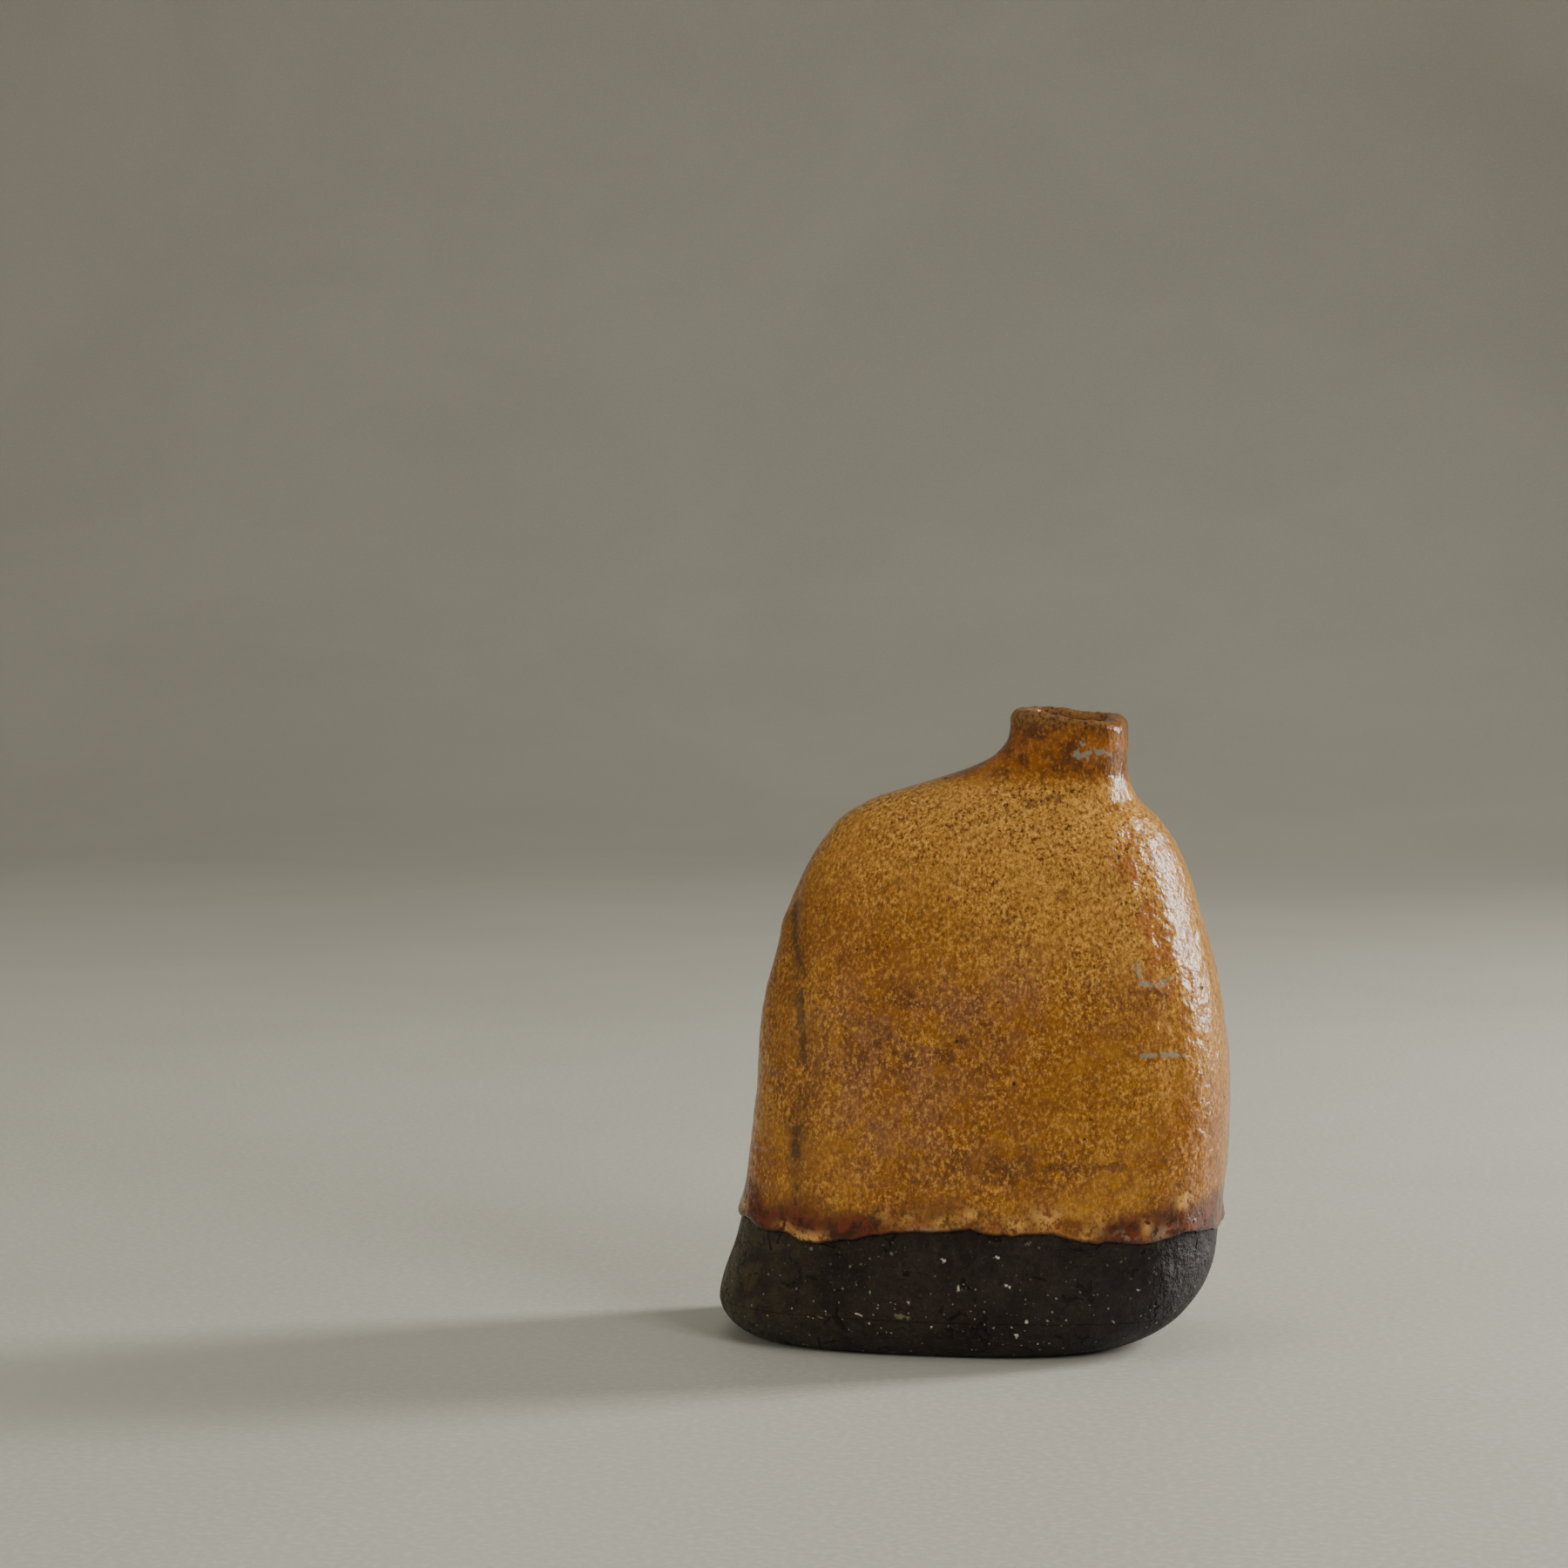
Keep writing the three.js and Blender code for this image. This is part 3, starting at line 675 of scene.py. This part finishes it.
def amber_glaze():
    material, tree, shader, place = new_material("amber_glaze")
    above = read_mark(tree, "above_edge")
    shoulder = read_mark(tree, "shoulder")
    neck = read_mark(tree, "neck")
    lip = read_mark(tree, "lip")
    band = read_mark(tree, "iron_band")
    gold = read_mark(tree, "gold_blobs")
    left_seam = read_mark(tree, "left_seam")
    right_seam = read_mark(tree, "right_seam")
    thin = read_mark(tree, "pink_patch")
    worn = read_mark(tree, "brown_patch")

    # The coat: ochre and orange-brown clouds under a grain that is stronger on the shoulder
    wide = patches(tree, place, 75, 0.4, 0.62)
    small = patches(tree, place, 320, 0.42, 0.6)
    base = blend(tree, wide, colour(136, 83, 18), colour(154, 102, 30))
    base = blend(tree, times(tree, small, 0.5), base, colour(118, 66, 14))
    pinkish = times(tree, thin, patches(tree, place, 210, 0.36, 0.6))
    base = blend(tree, times(tree, pinkish, 0.85), base, colour(132, 84, 50))
    rust = times(tree, worn, patches(tree, place, 380, 0.42, 0.6))
    base = blend(tree, times(tree, rust, 0.75), base, colour(82, 43, 18))
    # The shoulder is painted paler and yellower toward the upper right, where the window light
    # falls: painted light over the glaze's olive tone there.
    base = blend(tree, times(tree, shoulder, 0.65), base, colour(176, 127, 56))

    streaked = add(tree, "ShaderNodeMapping", {"Vector": place, "Scale": (1, 1, 0.72)}).outputs[0]
    fine = use(tree, speckle, {"Vector": streaked, "Size": 1800.0, "Amount": 0.85})
    coarse = use(tree, speckle, {"Vector": streaked, "Size": 520.0, "Amount": 0.5})
    patchy = patches(tree, place, 140, 0.36, 0.62)
    force = calc(tree, "ADD", times(tree, patchy, 0.32), 0.3)
    force = calc(tree, "ADD", force, times(tree, shoulder, 0.42))
    pale = times(tree, fine.outputs["Pale"], force)
    dark = times(tree, fine.outputs["Dark"], force)
    base = blend(tree, times(tree, coarse.outputs["Dark"], 0.38), base, colour(88, 49, 14))
    base = blend(tree, times(tree, coarse.outputs["Pale"], 0.24), base, colour(190, 132, 54))
    base = blend(tree, pale, base, colour(214, 158, 72))
    base = blend(tree, dark, base, colour(66, 33, 8))

    # Iron-rich parts: neck, lip, seams and the band above the edge
    neck_patches = patches(tree, place, 260, 0.4, 0.6)
    neck_tone = blend(tree, neck_patches, colour(130, 72, 14), colour(70, 32, 8))
    neck_grain = times(tree, fine.outputs["Pale"], 0.35)
    neck_tone = blend(tree, neck_grain, neck_tone, colour(176, 118, 50))
    base = blend(tree, times(tree, neck, 0.8), base, neck_tone)
    lip_tone = blend(tree, fine.outputs["Dark"], colour(118, 84, 46), colour(44, 30, 18))
    base = blend(tree, times(tree, lip, 0.75), base, lip_tone)
    seam_patches = patches(tree, place, 300, 0.42, 0.6)
    seam_tone = blend(tree, seam_patches, colour(96, 58, 16), colour(48, 38, 22))
    base = blend(tree, times(tree, left_seam, 0.5), base, seam_tone)
    streak = times(tree, right_seam, patches(tree, place, 260, 0.44, 0.6))
    base = blend(tree, times(tree, streak, 0.7), base, colour(124, 62, 26))
    red = blend(tree, patches(tree, place, 420, 0.4, 0.62), colour(98, 44, 18), colour(56, 26, 12))
    base = blend(tree, band, base, red)
    blob = times(tree, gold, ease(tree, cloud(tree, place, 700, 3), 0.36, 0.5))
    speckled = ease(tree, fine.outputs["Height"], 0.36, 0.5)
    base = blend(tree, times(tree, times(tree, blob, speckled), 0.85), base, colour(200, 148, 78))
    # A dark line along the underside of the coat's bead, where above_edge is under about half a
    # millimetre: painted shadow under the glaze edge.
    outline = ease(tree, above, 0.75, 0.25)
    base = blend(tree, times(tree, outline, 0.75), base, colour(40, 24, 16))
    pale_rim = read_mark(tree, "pale_rim")
    whitish = times(tree, pale_rim, ease(tree, cloud(tree, place, 900, 3), 0.44, 0.54))
    base = blend(tree, times(tree, whitish, 0.5), base, colour(150, 132, 108))

    # Single marks
    smears = smear(tree, place, DARK_SMEARS, 1.3, 600)
    stains = smear(tree, place, SEAM_STAINS, 1.1, 600)
    ash = smear(tree, place, ASH_MARKS, 1.5, 900)
    pins = smear(tree, place, PIN_HOLES, 0.2, 1500)
    base = blend(tree, times(tree, smears, 0.5), base, colour(66, 36, 18))
    base = blend(tree, times(tree, stains, 0.62), base, colour(54, 44, 32))
    base = blend(tree, times(tree, ash, 0.6), base, colour(132, 138, 122))
    pits = use(tree, specks, {"Vector": place, "Size": 260.0, "Share": 0.1, "Radius": 0.075})
    holes = calc(tree, "MAXIMUM", pins, pits.outputs["Mask"])
    base = blend(tree, times(tree, holes, 0.85), base, colour(30, 20, 14))
    tree.links.new(base, shader.inputs["Base Color"])

    uneven = cloud(tree, place, 240, 3)
    rough = ease(tree, uneven, 0.3, 0.7, 0.15, 0.27)
    rough = calc(tree, "ADD", rough, times(tree, dark, 0.16))
    rough = calc(tree, "ADD", rough, times(tree, holes, 0.4))
    rough = calc(tree, "SUBTRACT", rough, times(tree, right_seam, 0.06))
    tree.links.new(rough, shader.inputs["Roughness"])
    shader.inputs["IOR"].default_value = 1.5
    shader.inputs["Specular IOR Level"].default_value = 0.42

    peel = cloud(tree, place, 620, 2)
    dimples = cloud(tree, place, 290, 2)
    height = calc(tree, "ADD", times(tree, fine.outputs["Height"], 0.4), times(tree, peel, 1.3))
    height = calc(tree, "ADD", height, times(tree, dimples, 1.5))
    height = calc(tree, "SUBTRACT", height, times(tree, holes, 1.4))
    bump = add(tree, "ShaderNodeBump", {"Strength": 0.9, "Distance": 0.00034, "Height": height})
    tree.links.new(bump.outputs[0], shader.inputs["Normal"])
    return material


# ---------------------------------------------------------------- clay

GROG = [
    (-1.5, 15.3, -1.3, 15.2, 0.32), (8, 11.8, 8.4, 11.6, 0.36), (0.9, 11.4, 0.8, 11, 0.3),
    (-6.6, 9.1, -6.5, 8.8, 0.33), (6.5, 16, 6.8, 15.9, 0.2), (-14.5, 6.8, -13.6, 6.5, 0.2),
    (23.5, 6.4, 23.7, 6.3, 0.26), (27, 11.2, 27.2, 11.1, 0.2),
]
# Tool pits and scratches in the foot: (x, z, x, z, width), in millimetres; they get a dip in the
# bump and painted shade in them.
TOOL_PITS = [
    (18.6, 12, 20.4, 10, 0.4), (20.2, 12.5, 20, 10.5, 0.3), (16.2, 10.4, 17, 9.6, 0.3),
    (-26.5, 18.6, -27.2, 16.4, 0.24), (-29, 18.1, -28.4, 15.2, 0.2),
    (-19.8, 16.9, -18.2, 16.6, 0.25),
    (12, 13.2, 13.6, 12.8, 0.18), (-22.4, 11.8, -20.8, 11.5, 0.16),
]
CHIPS = [(-8.4, 6.9, -6.6, 6.6, 0.36), (-20.5, 6, -19.8, 5.9, 0.2)]


def bare_clay(name, foot):
    """Chocolate stoneware with grog. The foot has its kiln sheen, scratches and marks too."""
    material, tree, shader, place = new_material(name)
    body = blend(tree, patches(tree, place, 90, 0.38, 0.64), colour(37, 27, 22), colour(26, 19, 16))
    small = times(tree, patches(tree, place, 480, 0.46, 0.62), 0.55)
    body = blend(tree, small, body, colour(46, 35, 28))
    grains = use(tree, speckle, {"Vector": place, "Size": 1500.0, "Amount": 0.45})
    body = blend(tree, times(tree, grains.outputs["Dark"], 0.7), body, colour(12, 9, 7))
    body = blend(tree, times(tree, grains.outputs["Pale"], 0.36), body, colour(84, 72, 60))
    dust = use(tree, specks, {"Vector": place, "Size": 1500.0, "Share": 0.2, "Radius": 0.3})
    flecks = use(tree, specks, {"Vector": place, "Size": 640.0, "Share": 0.1, "Radius": 0.18})
    pale = calc(tree, "MAXIMUM", times(tree, dust.outputs["Mask"], 0.6), flecks.outputs["Mask"])
    # Short cracks: a dip in the bump, and near-black colour in them that is painted shade inside
    # the cracks.
    wander = cloud(tree, place, 260, 2)
    bent = add(tree, "ShaderNodeVectorMath", {0: place, 1: times(tree, wander, 0.006)})
    split = cells(tree, bent.outputs[0], 150, "DISTANCE_TO_EDGE").outputs["Distance"]
    cracks = times(tree, ease(tree, split, 0.045, 0.01), patches(tree, place, 130, 0.54, 0.6))
    body = blend(tree, times(tree, cracks, 0.7), body, colour(10, 8, 6))
    stretched = add(tree, "ShaderNodeMapping", {"Vector": place, "Scale": (90, 90, 1500)})
    drag = cloud(tree, stretched.outputs[0], 1.0, 3, 0.6)
    height = times(tree, grains.outputs["Height"], 0.5)
    height = calc(tree, "ADD", height, times(tree, cloud(tree, place, 480, 4, 0.6), 1.5))
    height = calc(tree, "ADD", height, times(tree, cloud(tree, place, 170, 2), 1.2))
    height = calc(tree, "ADD", height, times(tree, cloud(tree, place, 1000, 2, 0.6), 0.5))
    height = calc(tree, "SUBTRACT", height, times(tree, cracks, 0.9))
    rough = ease(tree, cloud(tree, place, 160, 3), 0.3, 0.7, 0.5, 0.74)
    if foot:
        left = read_mark(tree, "left_corner")
        right = read_mark(tree, "right_corner")
        under = read_mark(tree, "under_edge")
        left_tone = times(tree, left, patches(tree, place, 260, 0.4, 0.6))
        body = blend(tree, times(tree, left_tone, 0.75), body, colour(66, 58, 34))
        # The right corner: the clay's cooler tone there, made darker as painted shade against the
        # window light that grazes it.
        body = blend(tree, times(tree, right, 0.65), body, colour(23, 19, 23))
        low = ease(tree, add(tree, "ShaderNodeSeparateXYZ", {0: place}).outputs["Z"], 0.014, 0.004)
        pale = times(tree, pale, calc(tree, "ADD", times(tree, low, 0.75), 0.25))
        pale = calc(tree, "MAXIMUM", pale, smear(tree, place, GROG, 1.1, 1500))
        pits = smear(tree, place, TOOL_PITS, 0.9, 1200)
        chips = smear(tree, place, CHIPS, 0.9, 1200)
        body = blend(tree, times(tree, chips, 0.7), body, colour(112, 104, 74))
        # The pits' near-black colour is painted shade in the dents.
        body = blend(tree, times(tree, pits, 0.6), body, colour(14, 10, 8))
        marks = times(tree, drag, calc(tree, "ADD", times(tree, under, 0.4), 0.25))
        marks = times(tree, marks, calc(tree, "SUBTRACT", 1.0, times(tree, right, 0.7)))
        height = calc(tree, "ADD", height, marks)
        height = calc(tree, "SUBTRACT", height, times(tree, pits, 1.3))
        rough = calc(tree, "SUBTRACT", rough, times(tree, left, 0.14))
        rough = calc(tree, "ADD", rough, times(tree, right, 0.12))
    body = blend(tree, times(tree, pale, 0.85), body, colour(196, 184, 162))
    height = calc(tree, "ADD", height, times(tree, pale, 0.5))
    tree.links.new(body, shader.inputs["Base Color"])
    tree.links.new(rough, shader.inputs["Roughness"])
    shader.inputs["Specular IOR Level"].default_value = 0.45
    bump = add(tree, "ShaderNodeBump", {"Strength": 1.0, "Distance": 0.0007, "Height": height})
    tree.links.new(bump.outputs[0], shader.inputs["Normal"])
    return material


def liner_glaze():
    material, tree, shader, place = new_material("liner_glaze")
    tone = blend(tree, patches(tree, place, 180, 0.4, 0.6), colour(96, 62, 30), colour(58, 36, 20))
    grains = use(tree, speckle, {"Vector": place, "Size": 1500.0, "Amount": 0.3})
    tone = blend(tree, times(tree, grains.outputs["Dark"], 0.5), tone, colour(34, 22, 14))
    tree.links.new(tone, shader.inputs["Base Color"])
    rough = ease(tree, cloud(tree, place, 200, 2), 0.3, 0.7, 0.26, 0.4)
    tree.links.new(rough, shader.inputs["Roughness"])
    height = grains.outputs["Height"]
    bump = add(tree, "ShaderNodeBump", {"Strength": 0.4, "Distance": 0.0002, "Height": height})
    tree.links.new(bump.outputs[0], shader.inputs["Normal"])
    return material


# ---------------------------------------------------------------- putting it together

foot_clay = bare_clay("stoneware_foot", True)
coil_clay = bare_clay("coil_clay", False)
glaze = amber_glaze()
liner = liner_glaze()


def finish_piece(piece, material, slot, *nodes):
    piece.data.materials.append(material)
    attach(piece, "root")
    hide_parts(*nodes)


def mark_clay(piece):
    places = places_of(piece)
    angle = angle_of(places)
    below = glaze_edge(angle) - places[:, 2]
    mark(piece, "under_edge", np.exp(-np.maximum(below, 0) / 2.6))
    mark(piece, "left_corner", np.exp(-(turn_from(angle, -150) / 26) ** 2))
    # right_corner carries the clay's cool tone there, darkened as painted shade against the window
    # light.
    mark(piece, "right_corner", np.exp(-(turn_from(angle, -28) / 30) ** 2))


def mark_glaze(piece):
    places = places_of(piece)
    x, y, z = places.T
    angle = angle_of(places)
    above = z - glaze_edge(angle)
    front = y < 0
    mark(piece, "above_edge", np.maximum(above, 0))
    # Shoulder mask, rising toward the upper right: it paints light on the coat there and also
    # strengthens the grain.
    mark(piece, "shoulder", smoothstep(z + 0.5 * x, 54, 82) * (1 - smoothstep(z, 84, 88)))
    mark(piece, "neck", smoothstep(z, 84.2, 87.5))
    mark(piece, "lip", smoothstep(z, 93.3, 95.2))
    wander = grain(places, 7, 21)
    red_left = smoothstep(-x, 7, 17) * front
    red_right = smoothstep(x, 19, 27) * front
    red_back = 0.8 * smoothstep(np.sin(np.radians(3 * angle)), -0.1, 0.8) * (~front)
    reach = 4.4 + 3.4 * wander + 1.2 * red_left + 1.6 * red_right + 1.2 * red_back
    strength = np.clip(0.95 * red_left + red_right + red_back + 0.6, 0, 1)
    mark(piece, "iron_band", strength * (1 - smoothstep(above, 0.55 * reach, 1.25 * reach)))
    loose = grain(places, 3.2, 22)
    front_gold = spots_on(x, above, GOLD_SPOTS) * smoothstep(loose, -0.5, 0.1)
    back_gold = smoothstep(loose, 0.1, 0.4) * np.exp(-((above - 1.5 - wander) / 1.3) ** 2)
    mark(piece, "gold_blobs", np.where(front, front_gold, back_gold))
    front_pale = spots_on(x, above, PALE_SPOTS)
    back_pale = np.exp(-((above - 0.5) / 0.35) ** 2) * smoothstep(grain(places, 6, 23), 0, 0.3)
    mark(piece, "pale_rim", np.where(front, front_pale, back_pale))
    mark(piece, "left_seam", left_seam_line(places, 2.4) * smoothstep(z, 18, 30)
         * smoothstep(grain(places, 5, 31), -0.3, 0.3))
    mark(piece, "right_seam", np.exp(-((turn_from(angle, SEAMS[1])) / 9) ** 2)
         * smoothstep(z, 46, 56) * (1 - smoothstep(z, 74, 84)))
    mark(piece, "pink_patch", np.where(front, spots_on(x, z, PINK_SPOTS), behind_patch(places, 24)))
    brown = np.where(front, spots_on(x, z, BROWN_SPOTS), behind_patch(places, 25))
    mark(piece, "brown_patch", brown)


# Where the glaze pooled above its edge in front: (x, height above the edge, half sizes)
GOLD_SPOTS = [
    (-34, 2.5, 1.2, 1.6), (-25.5, 1.0, 1.8, 0.8), (-21.5, 0.9, 2.6, 0.9), (-8, 3, 2.6, 1.2),
    (-1.5, 1.6, 1.6, 0.7), (3, 2.4, 2, 1), (9.5, 2, 1.6, 1.4), (14, 2.6, 3.4, 1.8),
    (18.5, 1.4, 2.6, 1.1), (22.5, 3.2, 1.2, 1.2), (28.4, 3, 0.7, 1.8), (33.5, 5.2, 1.4, 1.4),
]
PALE_SPOTS = [(-5, 0.8, 3.6, 0.4), (2, 0.9, 1.4, 0.4), (25.5, 1.2, 1.5, 0.8), (30.5, 1.4, 1.8, 1.1)]

# Where the coat is thin on the front: (x, z, half width, half height), in millimetres
PINK_SPOTS = [(-8, 36, 12, 9), (-13, 48, 10, 9), (13, 57, 12, 6), (4, 50, 9, 6)]
BROWN_SPOTS = [(-5, 54, 9, 3), (-11, 46, 9, 5), (2, 46, 5, 4), (27, 53, 5, 4), (8, 29.5, 11, 3)]


def spots_on(x, z, spots):
    total = sum(np.exp(-((x - a) / w) ** 2 - ((z - b) / h) ** 2) for a, b, w, h in spots)
    return np.clip(total, 0, 1)


def behind_patch(places, seed):
    return smoothstep(grain(places, 24, seed), 0, 0.4) * (1 - smoothstep(places[:, 2], 55, 72))


floor_piece = build_floor_slab()
finish_piece(floor_piece, foot_clay, "stoneware", "floor_slab")
mark_clay(floor_piece)

WALL_SLABS = [
    ("front_slab_clay", "front_slab", SEAMS[0], SEAMS[1], 230),
    ("right_side_slab_clay", "right_side_slab", SEAMS[1], SEAMS[2], 110),
    ("back_slab_clay", "back_slab", SEAMS[2], SEAMS[3], 230),
    ("left_side_slab_clay", "left_side_slab", SEAMS[3], SEAMS[0] + 360, 110),
]
for piece_name, node_name, from_seam, to_seam, columns in WALL_SLABS:
    slab = build_wall_slab(piece_name, from_seam, to_seam, columns)
    finish_piece(slab, foot_clay, "stoneware", node_name)
    mark_clay(slab)

collar = build_collar()
finish_piece(collar, coil_clay, "stoneware", "neck_collar")

coat = build_glaze_coat()
finish_piece(coat, glaze, "amber_glaze", "glaze_coat")
mark_glaze(coat)

KEPT_NODES = {
    "neck_joint_coil": coil_clay, "floor_seam_coil": coil_clay, "seam_coil_front_left": coil_clay,
    "seam_coil_front_right": coil_clay, "seam_coil_back_right": coil_clay,
    "seam_coil_back_left": coil_clay, "liner_glaze": liner,
}
for node_name, material in KEPT_NODES.items():
    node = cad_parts[node_name]
    for slot_index in range(len(node.material_slots)):
        node.material_slots[slot_index].material = material

# ---------------------------------------------------------------- floor, light, camera

FLOOR_SPAN = 5.0
SWEEP_START = 0.9
SWEEP_RADIUS = 0.7


def pale_ground(name, tone):
    material, tree, shader, place = new_material(name)
    dusty = patches(tree, place, 6, 0.35, 0.65)
    base = blend(tree, dusty, colour(*tone), colour(*(part - 5 for part in tone)))
    fine = cloud(tree, place, 900, 3)
    base = blend(tree, times(tree, ease(tree, fine, 0.45, 0.7), 0.12), base, colour(225, 224, 216))
    tree.links.new(base, shader.inputs["Base Color"])
    tree.links.new(ease(tree, fine, 0.3, 0.7, 0.5, 0.66), shader.inputs["Roughness"])
    bump = add(tree, "ShaderNodeBump", {"Strength": 0.12, "Distance": 0.0002, "Height": fine})
    tree.links.new(bump.outputs[0], shader.inputs["Normal"])
    return material


def build_sweep():
    """One pale sheet: level under the vase, curving up far behind it."""
    sheet = bmesh.new()
    bmesh.ops.create_grid(sheet, x_segments=4, y_segments=160, size=FLOOR_SPAN)
    for vert in sheet.verts:
        over = max(0, vert.co.y - SWEEP_START)
        turn = min(over / SWEEP_RADIUS, math.pi / 2)
        rest = over - turn * SWEEP_RADIUS
        vert.co.y = min(vert.co.y, SWEEP_START) + SWEEP_RADIUS * math.sin(turn)
        vert.co.z = SWEEP_RADIUS * (1 - math.cos(turn)) + rest
    return keep("studio_sweep", sheet)


ground = build_sweep()
ground.data.materials.append(pale_ground("pale_floor", (178, 176, 164)))

CAMERA_TURN = 10.9
CAMERA_DIP = 3.33
CAMERA_PLACE = (-29.3, -572, 118)
LENS = 86
SENSOR = 36
turn = Matrix.Rotation(math.radians(CAMERA_TURN), 4, "Z")
camera = bpy.data.objects.new("camera", bpy.data.cameras.new("camera"))
bpy.context.scene.collection.objects.link(camera)
camera.data.lens = LENS
camera.data.sensor_width = SENSOR
camera.data.clip_start = 0.02
camera.location = turn @ (Vector(CAMERA_PLACE) * MM)
camera.rotation_euler = (math.radians(90 - CAMERA_DIP), 0, math.radians(CAMERA_TURN))
bpy.context.scene.camera = camera


def soft_box(name, place, size, power, tint=(1, 1, 1), aim=(0, 0, 0.045)):
    lamp = bpy.data.lights.new(name, "AREA")
    lamp.shape = "RECTANGLE"
    lamp.size, lamp.size_y = size
    lamp.energy = power
    lamp.color = tint
    holder = bpy.data.objects.new(name, lamp)
    bpy.context.scene.collection.objects.link(holder)
    holder.location = place
    holder.rotation_euler = (Vector(aim) - Vector(place)).to_track_quat("-Z", "Y").to_euler()
    return holder


soft_box("window_light", (0.7, 0.36, 0.36), (0.16, 0.46), 11.0, (1, 0.98, 0.95))
fill = soft_box("front_fill", (0.72, -0.66, 0.52), (0.4, 0.4), 5.8, (1, 0.99, 0.97))
side = soft_box("left_fill", (-0.7, -0.6, 0.3), (0.8, 0.6), 3.3, (1, 1, 0.98))
top = soft_box("top_fill", (-0.1, 0.15, 1.1), (0.9, 0.9), 2.6, (1, 1, 1))
for lamp in (fill, side, top):
    lamp.visible_glossy = False

world = bpy.data.worlds.new("studio_air")
bpy.context.scene.world = world
world.use_nodes = True
sky = world.node_tree.nodes["Background"]
sky.inputs["Color"].default_value = colour(206, 200, 184)
sky.inputs["Strength"].default_value = 0.42
